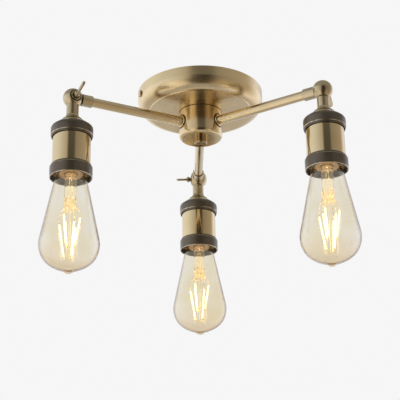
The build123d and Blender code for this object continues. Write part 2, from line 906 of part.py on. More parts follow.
def main():
    os.makedirs("parts", exist_ok=True)
    write("ceiling_bracket", make_bracket())
    write("canopy", make_canopy())
    write("canopy_screws", make_canopy_screws())
    write("terminal_block", make_terminal_block())
    write("terminal_screws", make_terminal_screws())
    write("hub", make_hub())
    write("centre_rod", make_centre_rod())
    write("lock_nuts", make_lock_nuts())
    write("finial", make_finial())
    write("arm_leads", make_arm_leads())
    write("arm_ferrules", [turned(make_arm_ferrule(), azimuth) for azimuth in arm_azimuths.values()])

    arm_tube = make_arm_tube()
    arm_knuckle = at_ball(make_arm_knuckle())
    head_pieces = {
        "head_knuckle": make_head_knuckle(),
        "neck_ring": make_neck_ring(),
        "holder_cap": make_holder_cap(),
        "holder_body": make_holder_body(),
        "shade_ring": make_shade_ring(),
        "socket_insulator": make_socket_insulator(),
        "socket_contacts": make_socket_contacts(),
        "head_leads": make_head_leads(),
        "bulb_cap": make_bulb_cap(),
        "bulb_contact": make_bulb_contact(),
        "bulb_glass": make_bulb_glass(),
        "bulb_stem": make_bulb_stem(),
        "bulb_filaments": make_filaments(),
    }
    lever = make_thumb_lever()
    for arm, azimuth in arm_azimuths.items():
        write(f"arm_tube_{arm}", turned(arm_tube, azimuth))
        write(f"arm_knuckle_{arm}", turned(arm_knuckle, azimuth))
        write(f"thumb_lever_{arm}", turned(at_ball(Rot(0, lever_turns[arm], 0) * lever), azimuth))
        for name, shapes in head_pieces.items():
            group = shapes if isinstance(shapes, (list, tuple)) else [shapes]
            placed = [turned(at_ball(shape), azimuth) for shape in group]
            write(f"{name}_{arm}", placed)


main()
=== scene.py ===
"""Semi flush ceiling light with three arms: finishes, bulbs, studio and camera."""

import math

import bmesh
import bpy
import numpy as np
from mathutils import Matrix, Vector


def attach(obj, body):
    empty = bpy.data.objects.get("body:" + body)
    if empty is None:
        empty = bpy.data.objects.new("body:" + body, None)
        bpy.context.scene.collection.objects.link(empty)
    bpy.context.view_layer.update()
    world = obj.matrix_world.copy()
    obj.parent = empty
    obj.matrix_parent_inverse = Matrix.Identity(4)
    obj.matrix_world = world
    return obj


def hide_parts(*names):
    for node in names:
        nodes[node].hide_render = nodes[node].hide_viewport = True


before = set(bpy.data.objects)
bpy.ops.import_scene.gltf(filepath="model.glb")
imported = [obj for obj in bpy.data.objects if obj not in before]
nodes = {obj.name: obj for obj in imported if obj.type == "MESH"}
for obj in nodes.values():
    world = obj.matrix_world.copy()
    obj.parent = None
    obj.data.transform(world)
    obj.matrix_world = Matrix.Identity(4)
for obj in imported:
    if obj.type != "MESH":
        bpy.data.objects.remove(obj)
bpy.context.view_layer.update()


# ---------------------------------------------------------------- ceiling bracket
# A steel strap bent down at both ends, screwed to the ceiling. It is zinc plated, so it
# is pale grey with a faint yellow and blue bloom. The nuts and the centre rod match it.
def add_node(finish, kind, inputs, **settings):
    """Adds a shader node. Inputs map a socket's name or number to a value or an output."""
    tree = finish.node_tree
    made = tree.nodes.new("ShaderNode" + kind)
    for name, value in settings.items():
        setattr(made, name, value)
    for name, value in inputs.items():
        if isinstance(value, bpy.types.NodeSocket):
            tree.links.new(value, made.inputs[name])
        else:
            made.inputs[name].default_value = value
    return made


def add_ramp(finish, factor, stops):
    """Colour ramp through (position, colour) stops, driven by factor."""
    made = add_node(finish, "ValToRGB", {0: factor})
    scale = made.color_ramp.elements
    while len(scale) < len(stops):
        scale.new(0.5)
    for element, (position, colour) in zip(scale, stops):
        element.position = position
        element.color = (*colour, 1.0)
    return made.outputs["Color"]


def new_finish(name, colour, metallic, roughness, more=None):
    """Material whose plain values sit on its Principled shader's own sockets."""
    finish = bpy.data.materials.new(name)
    finish.use_nodes = True
    sockets = finish.node_tree.nodes["Principled BSDF"].inputs
    plain = {"Base Color": (*colour, 1.0), "Metallic": metallic, "Roughness": roughness}
    for socket, value in {**plain, **(more or {})}.items():
        sockets[socket].default_value = value
    return finish


def own_place(finish):
    """A point's place in the piece's own coordinates."""
    return add_node(finish, "TexCoord", {}).outputs["Object"]


def cloud(finish, scale, detail=4.0):
    """Noise between 0 and 1 over the piece's own coordinates, in patches of 1/scale m."""
    inputs = {"Vector": own_place(finish), "Scale": scale, "Detail": detail}
    return add_node(finish, "TexNoise", inputs).outputs[0]


def spread(finish, factor, low, high, start=0.3, end=0.7):
    """Factor stretched so that start gives low and end gives high, level beyond them."""
    inputs = {0: factor, 1: start, 2: end, 3: low, 4: high}
    return add_node(finish, "MapRange", inputs).outputs[0]


def link(finish, output, socket):
    """Joins an output to one of the Principled shader's inputs."""
    shader = finish.node_tree.nodes["Principled BSDF"]
    finish.node_tree.links.new(output, shader.inputs[socket])


def relief(finish, height, strength, distance):
    """Bumps the surface by height, a factor from 0 to 1, over a distance in metres."""
    inputs = {"Height": height, "Strength": strength, "Distance": distance}
    link(finish, add_node(finish, "Bump", inputs).outputs["Normal"], "Normal")


def dress(finish, *names):
    """Gives a finish to pieces that keep the solid's own mesh."""
    for name in names:
        nodes[name].data.materials.clear()
        nodes[name].data.materials.append(finish)


zinc = new_finish("zinc_plate", (0.60, 0.60, 0.60), 1.0, 0.35)
zinc_bloom = [(0.3, (0.56, 0.57, 0.60)), (0.5, (0.62, 0.61, 0.58)), (0.7, (0.60, 0.56, 0.46))]
link(zinc, add_ramp(zinc, cloud(zinc, 90.0), zinc_bloom), "Base Color")
link(zinc, spread(zinc, cloud(zinc, 600.0, detail=3.0), low=0.28, high=0.46), "Roughness")
relief(zinc, cloud(zinc, 2500.0, detail=2.0), strength=0.15, distance=0.0001)
dress(zinc, "ceiling_bracket", "centre_rod", "lock_nuts", "terminal_screws")


# ---------------------------------------------------------------- terminal block
# A moulded white block on the bracket's tab joins the house cable to the six leads. The
# leads are stranded copper in a soft brown sleeve.
def two_tone(finish, pattern, low, high, start=0.3, end=0.7):
    """Base colour that runs from low to high as the pattern goes from start to end."""
    link(finish, add_ramp(finish, pattern, [(start, low), (end, high)]), "Base Color")


plastic = new_finish("block_plastic", (0.78, 0.76, 0.70), 0.0, 0.45)
two_tone(plastic, cloud(plastic, 150.0), (0.74, 0.72, 0.66), (0.82, 0.80, 0.74))
relief(plastic, cloud(plastic, 3000.0, detail=2.0), strength=0.2, distance=0.0001)
dress(plastic, "terminal_block")

arm_azimuths = {"back": 90.0, "left": 206.5, "right": 326.0}
sleeving = new_finish("lead_sleeving", (0.16, 0.09, 0.05), 0.0, 0.5)
two_tone(sleeving, cloud(sleeving, 300.0), (0.13, 0.07, 0.04), (0.20, 0.12, 0.07))
dress(sleeving, "arm_leads", *[f"head_leads_{arm}" for arm in arm_azimuths])


# ---------------------------------------------------------------- canopy and hub
# A cup spun from brass sheet with a stepped flat centre, and a turned drum hub clamped
# under it by the finial. Both are satin antique brass with faint rings from the lathe.
def combine(finish, operation, first, second):
    """One number made of two by an operation such as ADD or MAXIMUM."""
    return add_node(finish, "Math", {0: first, 1: second}, operation=operation).outputs[0]


def brass_finish(name, light, dark, roughness, ring_scale=0.0):
    """Antique brass: two tones in soft clouds, with turning rings on lathe work.

    A ring is noise of (height + distance from the Z axis) alone, so it runs round a
    cylinder and makes circles on a flat disc.
    """
    finish = new_finish(name, light, 1.0, roughness)
    two_tone(finish, cloud(finish, 40.0, detail=2.0), dark, light, start=0.35, end=0.62)
    polish = spread(finish, cloud(finish, 90.0, detail=2.0), roughness - 0.02, roughness + 0.03)
    if ring_scale:
        place = own_place(finish)
        flat = add_node(finish, "VectorMath", {0: place, 1: (1.0, 1.0, 0.0)}, operation="MULTIPLY")
        reach = add_node(finish, "VectorMath", {0: flat.outputs[0]}, operation="LENGTH")
        height = add_node(finish, "SeparateXYZ", {0: place}).outputs["Z"]
        along = combine(finish, "ADD", height, reach.outputs["Value"])
        inputs = {"W": along, "Scale": ring_scale, "Detail": 3.0}
        grain = add_node(finish, "TexNoise", inputs, noise_dimensions="1D").outputs[0]
        polish = combine(finish, "ADD", polish, spread(finish, grain, low=-0.02, high=0.03))
        relief(finish, grain, strength=0.012, distance=0.00002)
    else:
        relief(finish, cloud(finish, 1800.0, detail=3.0), strength=0.03, distance=0.00002)
    link(finish, polish, "Roughness")
    return finish


brass_light = (0.78, 0.65, 0.42)
brass_dark = (0.74, 0.60, 0.37)
canopy_brass = brass_finish("canopy_brass", brass_light, brass_dark, 0.25, ring_scale=1500.0)
hub_brass = brass_finish("hub_brass", brass_light, brass_dark, 0.16, ring_scale=2200.0)
# The finial's darker brass is painted shade: the dark room it reflects, put into its colour.
shaded_finial_brass = brass_finish("finial_brass", (0.56, 0.46, 0.30), (0.44, 0.34, 0.21), 0.20)
dress(canopy_brass, "canopy")
dress(hub_brass, "hub")
dress(shaded_finial_brass, "finial")


# ---------------------------------------------------------------- arms and knuckles
# Drawn brass tubes pass through thin ferrules into the hub. Each ends in a cast ball
# knuckle, split down the middle and clamped by a screw with a flat thumb lever.
cast_brass = brass_finish("knuckle_brass", (0.60, 0.52, 0.37), (0.50, 0.42, 0.28), 0.22)
tube_brass = brass_finish("arm_brass", (0.72, 0.61, 0.41), (0.68, 0.56, 0.36), 0.20)
bright_brass = brass_finish("ferrule_brass", (0.80, 0.66, 0.44), (0.72, 0.56, 0.34), 0.14)
dress(bright_brass, "arm_ferrules", "canopy_screws")
dress(tube_brass, *[f"arm_tube_{arm}" for arm in arm_azimuths])
for part in ("arm_knuckle", "head_knuckle", "thumb_lever"):
    dress(cast_brass, *[f"{part}_{arm}" for arm in arm_azimuths])


# ---------------------------------------------------------------- lampholder cap
# Under each knuckle a domed brass ring sits on a shouldered cap coated dark bronze. The cap's
# upper cone is brass coloured, a painted reflection of the bright neck in the dark dome, and
# its lower edge is bright, partly rubbed wear and partly painted highlight.
arm_reach = 156.4
arm_drop = 39.3
neck_drop = 21.0
cap_drop = 27.0
cap_corners = [
    # radius, depth below the ball, rounding, wear and painted edge highlight
    (5.0, cap_drop, 0.0, 0),
    (11.0, cap_drop, 1.0, 0),
    (22.8, 36.0, 2.0, 0.2),
    (22.8, 45.3, 0.5, 1.0),
    (22.1, 46.3, 0.3, 0),
    (21.9, 47.7, 0.3, 0.3),
    (21.3, 47.7, 0.2, 0),
    (21.3, 46.0, 0.0, 0),
    (20.55, 46.0, 0.0, 0),
    (20.55, 37.5, 0.0, 0),
    (11.0, 30.6, 0.0, 0),
    (5.0, 30.6, 0.0, 0),
]
collar_corners = [
    (5.0, neck_drop, 0.0, 0),
    (7.0, neck_drop, 0.3, 0),
    (7.4, 23.2, 1.0, 0),
    (9.2, 25.2, 1.2, 0),
    (11.4, 26.4, 0.5, 0),
    (11.6, cap_drop, 0.1, 0),
    (5.0, cap_drop, 0.0, 0),
]
neck_reflection_radius = 21.0  # the cone carries the painted neck reflection inside this radius
neck_reflection_fade = 2.5  # and it fades out over this width
neck_reflection_depth = 36.5  # all that lies deeper is plain coat
crease = math.radians(38)  # edges bent more than this stay crisp


def eased_profile(corners, spacing, arc_steps=7):
    """Closed outline through corners given as (radius, depth, rounding, wear and painted sheen).

    Each corner P is replaced by the curve (1-s)^2 A + 2 s (1-s) P + s^2 B between the
    points A and B that lie one rounding before and after it. The runs between corners
    are divided evenly. The fourth number, rubbed wear and painted edge highlight, is the
    corner's own value times sin(pi s) on its curve, else nothing.
    """
    corner = np.array(corners, dtype=float)
    point, rounding, corner_wear_and_sheen = corner[:, :2], corner[:, 2:3], corner[:, 3]
    back = np.roll(point, 1, axis=0) - point
    ahead = np.roll(point, -1, axis=0) - point
    start = point + rounding * back / np.linalg.norm(back, axis=1, keepdims=True)
    end = point + rounding * ahead / np.linalg.norm(ahead, axis=1, keepdims=True)
    path, wear = [], []
    for k in range(len(corner)):
        s = np.linspace(0, 1, arc_steps if rounding[k, 0] else 1)[:, None]
        path.append((1 - s) ** 2 * start[k] + 2 * s * (1 - s) * point[k] + s**2 * end[k])
        wear.append(corner_wear_and_sheen[k] * np.sin(np.pi * s[:, 0]))
        run = start[(k + 1) % len(corner)] - end[k]
        inner = np.linspace(0, 1, int(np.linalg.norm(run) / spacing) + 2)[1:-1, None]
        path.append(end[k] + inner * run)
        wear.append(np.zeros(len(inner)))
    return np.vstack(path), np.concatenate(wear)


def grid_mesh(name, points, closed_profile, values=None):
    """Mesh over a grid of points (rows along the profile, columns round the axis).

    The columns always close on themselves, the rows only on a closed profile. Rows that
    shrink to one point become poles. Values are float attributes, one number per point.
    """
    rows, columns = points.shape[:2]
    index = np.arange(rows * columns).reshape(rows, columns)
    index = np.hstack((index, index[:, :1]))
    if closed_profile:
        index = np.vstack((index, index[:1]))
    quads = np.stack((index[:-1, :-1], index[:-1, 1:], index[1:, 1:], index[1:, :-1]), axis=-1)
    metres = points.reshape(-1, 3) * 0.001
    mesh = bpy.data.meshes.new(name)
    mesh.from_pydata(metres.tolist(), [], quads.reshape(-1, 4).tolist())
    for label, value in (values or {}).items():
        spot = mesh.attributes.new(label, "FLOAT", "POINT")
        each = np.broadcast_to(value, (rows, columns)).ravel()
        spot.data.foreach_set("value", each.astype(np.float32))
    return mesh


def finished_piece(name, mesh, finish, body, slot, *stands_for):
    """Object from a mesh, its doubles merged and faces turned outwards, riding a body."""
    edit = bmesh.new()
    edit.from_mesh(mesh)
    bmesh.ops.remove_doubles(edit, verts=edit.verts, dist=1e-6)
    bmesh.ops.recalc_face_normals(edit, faces=edit.faces)
    edit.to_mesh(mesh)
    edit.free()
    mesh.polygons.foreach_set("use_smooth", np.ones(len(mesh.polygons), dtype=bool))
    mesh.set_sharp_from_angle(angle=crease)
    mesh.materials.append(finish)
    piece = bpy.data.objects.new(name, mesh)
    bpy.context.scene.collection.objects.link(piece)
    if stands_for:
        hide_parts(*stands_for)
    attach(piece, body)
    return piece


def head_axis(arm):
    """The vertical axis through an arm's ball, as x, y and the ball's level."""
    angle = math.radians(arm_azimuths[arm])
    return np.array((arm_reach * math.cos(angle), arm_reach * math.sin(angle), -arm_drop))


def spun_points(profile, arm, steps, thread=None):
    """Points of a surface of revolution about a head's axis.

    A profile point (radius r, depth d) at angle t is (r cos t, r sin t, -d). A thread
    (top, bottom, pitch, height) adds height * cos(2 pi d / pitch + t) to the radius
    between its two depths, fading in and out over one pitch.
    """
    angle = np.linspace(0, 2 * np.pi, steps, endpoint=False)[None, :]
    radius, depth = profile[:, :1], profile[:, 1:]
    if thread:
        top, bottom, pitch, height = thread
        fade = np.clip((depth - top) / pitch, 0, 1) * np.clip((bottom - depth) / pitch, 0, 1)
        radius = radius + height * fade * np.cos(2 * np.pi * depth / pitch + angle)
    across, level = radius + 0 * angle, -depth + 0 * angle
    points = np.stack((across * np.cos(angle), across * np.sin(angle), level), axis=-1)
    return points + head_axis(arm)


def spun_piece(name, arm, outline, finish, body, slot, *stands_for, **form):
    """One arm's piece of revolution. Form may give steps, thread, wear (rubbed wear and painted
    edge highlight) and closed.
    """
    points = spun_points(outline, arm, form.get("steps", 144), form.get("thread"))
    values = {"wear": form["wear"][:, None]} if "wear" in form else {}
    mesh = grid_mesh(f"{name}_{arm}", points, form.get("closed", True), values)
    replaced = [f"{node}_{arm}" for node in stands_for]
    finished_piece(f"{name}_{arm}", mesh, finish, f"{body}_{arm}", slot, *replaced)


def blend(finish, factor, first, second, **settings):
    """Mixes two colours by factor. The second is an output or three numbers."""
    if not isinstance(second, bpy.types.NodeSocket):
        second = (*second, 1.0)
    inputs = {0: factor, 6: first, 7: second}
    return add_node(finish, "Mix", inputs, data_type="RGBA", **settings).outputs[2]


def coat_with_wear_and_sheen(name, coat, coat_alt, coat_roughness, metal, metal_roughness):
    """Dark coat over brass, bright where the wear attribute is high: rubbed
    through at worn edges, and painted highlight and reflection where it stands for light.

    That attribute plus fine noise passes through a steep ramp; it mixes the colours, drives
    the roughness and makes the bright metal fully metallic.
    """
    finish = new_finish(name, coat, 0.6, coat_roughness)
    wear_sheen_mask = add_node(finish, "Attribute", {}, attribute_name="wear").outputs["Fac"]
    patch = spread(finish, cloud(finish, 260.0, detail=5.0), low=-0.45, high=0.25)
    bright_share = spread(finish, combine(finish, "ADD", wear_sheen_mask, patch), 0.0, 1.0, start=0.35, end=0.7)
    tone = add_ramp(finish, cloud(finish, 70.0, detail=6.0), [(0.35, coat), (0.65, coat_alt)])
    link(finish, blend(finish, bright_share, tone, metal), "Base Color")
    patch = cloud(finish, 200.0, detail=5.0)
    satin = spread(finish, patch, coat_roughness - 0.05, coat_roughness + 0.06)
    inputs = {0: bright_share, 2: satin, 3: metal_roughness}
    link(finish, add_node(finish, "Mix", inputs).outputs[0], "Roughness")
    link(finish, spread(finish, bright_share, 0.6, 1.0, start=0.0, end=1.0), "Metallic")
    relief(finish, cloud(finish, 1600.0, detail=3.0), strength=0.15, distance=0.00006)
    return finish


cap_coat = (0.130, 0.118, 0.104), (0.165, 0.145, 0.122)
cap_bronze = coat_with_wear_and_sheen("cap_bronze", *cap_coat, 0.34, (0.74, 0.66, 0.48), 0.25)
cap_outline, cap_wear = eased_profile(cap_corners, 1.0)
# Painted reflection: inside this radius the coat gives way to brass, standing for the bright neck
# seen in the dark dome.
neck_reflection_cone = np.clip((neck_reflection_radius - cap_outline[:, 0]) / neck_reflection_fade, 0, 1)
cap_wear = np.maximum(cap_wear, neck_reflection_cone * (cap_outline[:, 1] < neck_reflection_depth))
collar_outline, _ = eased_profile(collar_corners, 1.0)
for arm in arm_azimuths:
    spun_piece(
        "lampholder_cap", arm, cap_outline, cap_bronze,
        "head", "dark_bronze", "holder_cap", wear=cap_wear,
    )
    spun_piece("neck_collar", arm, collar_outline, cast_brass, "head", "antique_brass", "neck_ring")


# ---------------------------------------------------------------- painted joint shade
# Dark rings set where the joints fall into shadow, as painted shade: one where the hub
# meets the canopy, one round each arm where it enters the hub, and on each clamp screw
# one under its flange and one round its stub.
hub_radius = 24.4
# radius and level of the ring between hub and canopy
hub_shade_outline = np.array([(24.2, -24.05), (24.5, -24.05), (24.5, -24.5), (24.2, -24.5)])
# radius round the arm and lift off the hub
arm_entry_shade = np.array([(6.85, -0.3), (8.3, -0.3), (8.3, 0.2), (6.85, 0.35)])
# radius round the screw and reach from the middle of the ball
flange_shade_ring = np.array([(5.5, 7.25), (6.55, 7.25), (6.55, 7.9), (5.5, 7.9)])
stub_shade_ring = np.array([(2.8, 8.72), (4.1, 8.72), (4.1, 8.95), (2.8, 8.95)])


def lathe_points(profile, centre, axis, steps=72):
    """Points of a surface of revolution about any axis.

    A profile point (radius r, reach q) at angle t is centre + q a + r (cos t u + sin t v),
    where a is the axis and u, v, a are at right angles.
    """
    a = np.array(axis, dtype=float)
    u = np.cross(a, (0.0, 0.0, 1.0)) if abs(a[2]) < 0.9 else np.array((1.0, 0.0, 0.0))
    v = np.cross(a, u)
    angle = np.linspace(0, 2 * np.pi, steps, endpoint=False)[None, :, None]
    radius, reach = profile[:, 0, None, None], profile[:, 1, None, None]
    return np.array(centre) + reach * a + radius * (np.cos(angle) * u + np.sin(angle) * v)


def saddle_points(profile, azimuth, steps=72):
    """Points of a ring that lies on the hub round an arm's axis.

    A profile point (radius r, lift q) at angle t is y = r cos t across the arm,
    z = r sin t above its axis and x = sqrt(hub radius^2 - y^2) + q along it.
    """
    angle = np.linspace(0, 2 * np.pi, steps, endpoint=False)[None, :]
    radius, lift = profile[:, :1], profile[:, 1:2]
    y, z = radius * np.cos(angle), radius * np.sin(angle) - arm_drop
    x = np.sqrt(hub_radius**2 - y**2) + lift
    c, s = math.cos(azimuth), math.sin(azimuth)
    return np.stack((x * c - y * s, x * s + y * c, z), axis=-1)


# Painted shade: a near-black finish for the rings that stand in for the joints' shadow gaps.
painted_gap_shade = new_finish("painted_gap_shade", (0.06, 0.045, 0.03), 0.5, 0.42)
gap_shade_tones = (0.05, 0.036, 0.024), (0.11, 0.08, 0.055)
two_tone(painted_gap_shade, cloud(painted_gap_shade, 400.0), *gap_shade_tones, start=0.35, end=0.65)
mesh = grid_mesh("hub_shade_ring", lathe_points(hub_shade_outline, (0, 0, 0), (0, 0, 1), 144), True)
finished_piece("hub_shade_ring", mesh, painted_gap_shade, "fixture", "antique_brass")
for arm, degrees in arm_azimuths.items():
    azimuth = math.radians(degrees)
    mesh = grid_mesh(f"arm_entry_shade_{arm}", saddle_points(arm_entry_shade, azimuth), True)
    finished_piece(f"arm_entry_shade_{arm}", mesh, painted_gap_shade, "fixture", "antique_brass")
    screw_axis = (-math.sin(azimuth), math.cos(azimuth), 0.0)
    for washer, outline in (("flange_shade_ring", flange_shade_ring), ("stub_shade_ring", stub_shade_ring)):
        points = lathe_points(outline, head_axis(arm), screw_axis)
        mesh = grid_mesh(f"{washer}_{arm}", points, True)
        finished_piece(f"{washer}_{arm}", mesh, painted_gap_shade, f"lever_{arm}", "antique_brass")


# ---------------------------------------------------------------- lampholder sleeve
# A thin brass tube, polished to a mirror, holds the socket. Its lower end is threaded
# outside and takes the shade ring, coated like the cap, its edges bright from rubbed wear
# and painted highlight.
sleeve_corners = [
    # radius, depth below the ball, rounding, wear and painted edge highlight
    (19.7, 38.5, 0.0, 0),
    (20.5, 38.5, 0.2, 0),
    (20.5, 88.6, 0.2, 0),
    (19.7, 88.6, 0.0, 0),
]
shade_corners = [
    (20.55, 80.1, 0.0, 0),
    (21.7, 80.1, 0.2, 0),
    (21.8, 81.9, 0.2, 0),
    (22.85, 82.3, 0.5, 1.0),
    (22.85, 94.5, 0.7, 1.0),
    (21.25, 94.5, 0.5, 0.6),
    (21.25, 88.6, 0.0, 0),
    (20.55, 88.6, 0.0, 0),
]
mirror_brass = brass_finish("sleeve_brass", (0.70, 0.59, 0.38), (0.67, 0.55, 0.34), 0.10)
ring_coat = (0.130, 0.116, 0.100), (0.170, 0.146, 0.120)
shade_bronze = coat_with_wear_and_sheen("ring_bronze", *ring_coat, 0.32, (0.86, 0.76, 0.58), 0.22)
sleeve_outline, _ = eased_profile(sleeve_corners, 3.0)
# The shade ring's bright edges are rubbed wear and painted highlight, carried by the fourth column.
shade_outline, shade_wear = eased_profile(shade_corners, 0.25)
for arm in arm_azimuths:
    spun_piece(
        "lampholder_sleeve", arm, sleeve_outline, mirror_brass,
        "head", "polished_brass", "holder_body",
    )
    spun_piece(
        "lampholder_ring", arm, shade_outline, shade_bronze,
        "head", "dark_bronze", "shade_ring", wear=shade_wear,
    )


# ---------------------------------------------------------------- socket
# Inside the sleeve a glazed porcelain block holds the brass screw shell and the sprung
# centre contact.
glaze = new_finish("socket_porcelain", (0.72, 0.70, 0.64), 0.0, 0.2)
two_tone(glaze, cloud(glaze, 120.0), (0.66, 0.63, 0.57), (0.76, 0.74, 0.69))
dress(glaze, *[f"socket_insulator_{arm}" for arm in arm_azimuths])
contact_metal = brass_finish("contact_brass", (0.80, 0.62, 0.34), (0.70, 0.50, 0.26), 0.25)
for part in ("socket_contacts", "bulb_contact"):
    dress(contact_metal, *[f"{part}_{arm}" for arm in arm_azimuths])


# ---------------------------------------------------------------- bulb cap
# The bulb's screw cap is rolled from thin nickelled brass with a round thread, and a
# black glass cone in its end carries the centre contact.
shell_corners = [
    # radius, depth below the ball, rounding, wear and painted edge highlight
    (12.7, 86.0, 0.0, 0),
    (12.9, 86.0, 0.0, 0),
    (12.85, 65.3, 0.3, 0),
    (12.4, 65.3, 0.0, 0),
]
cap_thread = (66.0, 84.0, 3.63, 0.30)  # top, bottom, pitch, height
cone_corners = [
    (0.0, 60.4, 0.0, 0),
    (4.8, 60.4, 0.0, 0),
    (12.6, 65.3, 0.0, 0),
    (12.0, 66.8, 0.0, 0),
    (0.0, 62.0, 0.0, 0),
]
cap_metal = new_finish("cap_nickel", (0.70, 0.58, 0.40), 1.0, 0.25)
cap_tones = (0.62, 0.48, 0.30), (0.76, 0.64, 0.46)
two_tone(cap_metal, cloud(cap_metal, 200.0), *cap_tones, start=0.35, end=0.65)
cone_glass = new_finish("cap_cone_glass", (0.02, 0.02, 0.025), 0.0, 0.15)
shell_outline, _ = eased_profile(shell_corners, 0.3)
cone_outline, _ = eased_profile(cone_corners, 1.0)
for arm in arm_azimuths:
    spun_piece(
        "bulb_screw_shell", arm, shell_outline, cap_metal,
        "bulb", "cap_metal", "bulb_cap", steps=96, thread=cap_thread,
    )
    spun_piece("bulb_cap_cone", arm, cone_outline, cone_glass, "bulb", "cap_metal", steps=96)


# ---------------------------------------------------------------- cap lining
# Looking up into the bulb's neck one sees the rim of its cap and the cement round the stem,
# lit by the sticks. Their copper colour is partly painted light, the sticks' warm glow put into the
# colour.
linings = {
    # radius and depth below the ball
    "cap_rim": [(12.95, 85.6), (14.0, 86.2), (14.0, 86.9), (13.0, 86.7)],
    "cap_lining": [(7.7, 89.4), (13.1, 90.1), (13.2, 90.7), (7.7, 90.0)],
    "stem_seal": [(0.0, 90.2), (5.2, 90.2), (5.2, 90.8), (0.0, 90.8)],
}
glow_warmed_copper = new_finish("cap_lining", (0.93, 0.60, 0.36), 0.6, 0.4)
glow_warmed_tones = (0.80, 0.42, 0.20), (0.98, 0.74, 0.48)
two_tone(glow_warmed_copper, cloud(glow_warmed_copper, 500.0, detail=3.0), *glow_warmed_tones, start=0.35, end=0.65)
relief(glow_warmed_copper, cloud(glow_warmed_copper, 900.0, detail=3.0), strength=0.4, distance=0.0003)
for arm in arm_azimuths:
    for name, outline in linings.items():
        spun_piece(name, arm, np.array(outline), glow_warmed_copper, "bulb", "cap_metal", steps=96)


# ---------------------------------------------------------------- bulb glass
# The bulb is blown from clear glass with a pale amber lacquer, pear shaped, with a small
# pip where the mould closed at its tip. Its neck is cemented into the cap.
bulb_tip = 200.9  # depth below the ball
glass_neck = 12.6
glass_wall = 0.8
pip_reach, pip_rise = 5.7, 2.8  # radius and height of the pip's foot above the tip
side_foot = (31.25, 38.8)  # radius and height where the straight side starts
side_top = (19.4, 95.0)
taper = math.tan(math.radians(11.9))
off_the_pip = np.array((2.1, 1.0))  # the wall's direction at the pip's foot,
along_the_side = np.array((-taper, 1.0))  # on the straight side
into_the_cap = np.array((0.0, 1.0))  # and in the neck
belly_points = [(pip_reach, pip_rise), (13.7, 6.2), (20.9, 10.2), (27.0, 16.0), (30.6, 23.2)]
belly_points += [(32.0, 31.4), side_foot]
shoulder_points = [side_top, (17.6, 102.6), (14.6, 110.3), (glass_neck, 116.2), (glass_neck, 121.9)]


def flowing_curve(points, first, last, steps):
    """Smooth curve through points with given end directions.

    Between two points it is the cubic Hermite curve for chord length; each inner slope
    is the mean of the two chords next to it, weighted by the other chord's length.
    """
    p = np.array(points, dtype=float)
    chord = np.linalg.norm(np.diff(p, axis=0), axis=1)
    slope = np.diff(p, axis=0) / chord[:, None]
    weighted = slope[:-1] * chord[1:, None] + slope[1:] * chord[:-1, None]
    inner = weighted / (chord[:-1] + chord[1:])[:, None]
    tangent = np.vstack((first / np.linalg.norm(first), inner, last / np.linalg.norm(last)))
    s = np.linspace(0, 1, steps, endpoint=False)[None, :, None]
    a, b, reach = p[:-1, None], p[1:, None], chord[:, None, None]
    curve = (
        (2 * s**3 - 3 * s**2 + 1) * a
        + (s**3 - 2 * s**2 + s) * reach * tangent[:-1, None]
        + (3 * s**2 - 2 * s**3) * b
        + (s**3 - s**2) * reach * tangent[1:, None]
    )
    return np.vstack((curve.reshape(-1, 2), p[-1:]))


pip_radius = (pip_reach**2 + pip_rise**2) / (2 * pip_rise)
sweep = np.linspace(0, math.asin(pip_reach / pip_radius), 10)
pip = np.stack((pip_radius * np.sin(sweep), pip_radius * (1 - np.cos(sweep))), axis=-1)
belly = flowing_curve(belly_points, off_the_pip, along_the_side, steps=8)
side_height = np.linspace(side_foot[1], side_top[1], 26)[1:-1]
side = np.stack((side_foot[0] - (side_height - side_foot[1]) * taper, side_height), axis=-1)
shoulder = flowing_curve(shoulder_points, along_the_side, into_the_cap, steps=6)
outer_glass = np.vstack((pip, belly[1:], side, shoulder))
heading = np.gradient(outer_glass, axis=0)
heading /= np.linalg.norm(heading, axis=1, keepdims=True)
inner_glass = outer_glass + glass_wall * np.stack((-heading[:, 1], heading[:, 0]), axis=-1)
inner_glass[0, 0] = 0.0
glass_outline = np.vstack((outer_glass, inner_glass[::-1]))
glass_outline = np.stack((glass_outline[:, 0], bulb_tip - glass_outline[:, 1]), axis=-1)

# The lacquer's tone varies at random and the glass is browner towards its tip. Where the wall
# is seen edge on it turns dark brown and less clear: painted shade for the dark outline at the
# bulb's edge, partly also the longer path through the tinted wall.
amber_glass = {"Transmission Weight": 1.0, "IOR": 1.5}
amber = new_finish("amber_glass", (0.96, 0.93, 0.86), 0.0, 0.0, amber_glass)
lacquer_tones = [(0.40, (0.925, 0.905, 0.850)), (0.60, (0.905, 0.850, 0.715))]
lacquer = add_ramp(amber, cloud(amber, 20.0, detail=2.0), lacquer_tones)
height = add_node(amber, "SeparateXYZ", {0: own_place(amber)}).outputs["Z"]
low_end = spread(amber, height, 0.0, 1.0, start=-0.212, end=-0.237)
thick = blend(amber, low_end, lacquer, (0.87, 0.77, 0.61))
facing = add_node(amber, "LayerWeight", {"Blend": 0.5}).outputs["Facing"]
edge_on_shade = spread(amber, facing, 0.0, 1.0, start=0.58, end=0.86)
link(amber, blend(amber, edge_on_shade, thick, (0.30, 0.17, 0.07)), "Base Color")
link(amber, spread(amber, facing, 1.0, 0.15, start=0.74, end=0.92), "Transmission Weight")
for arm in arm_azimuths:
    spun_piece(
        "glass_bulb", arm, glass_outline, amber,
        "bulb", "amber_glass", "bulb_glass", steps=128, closed=False,
    )


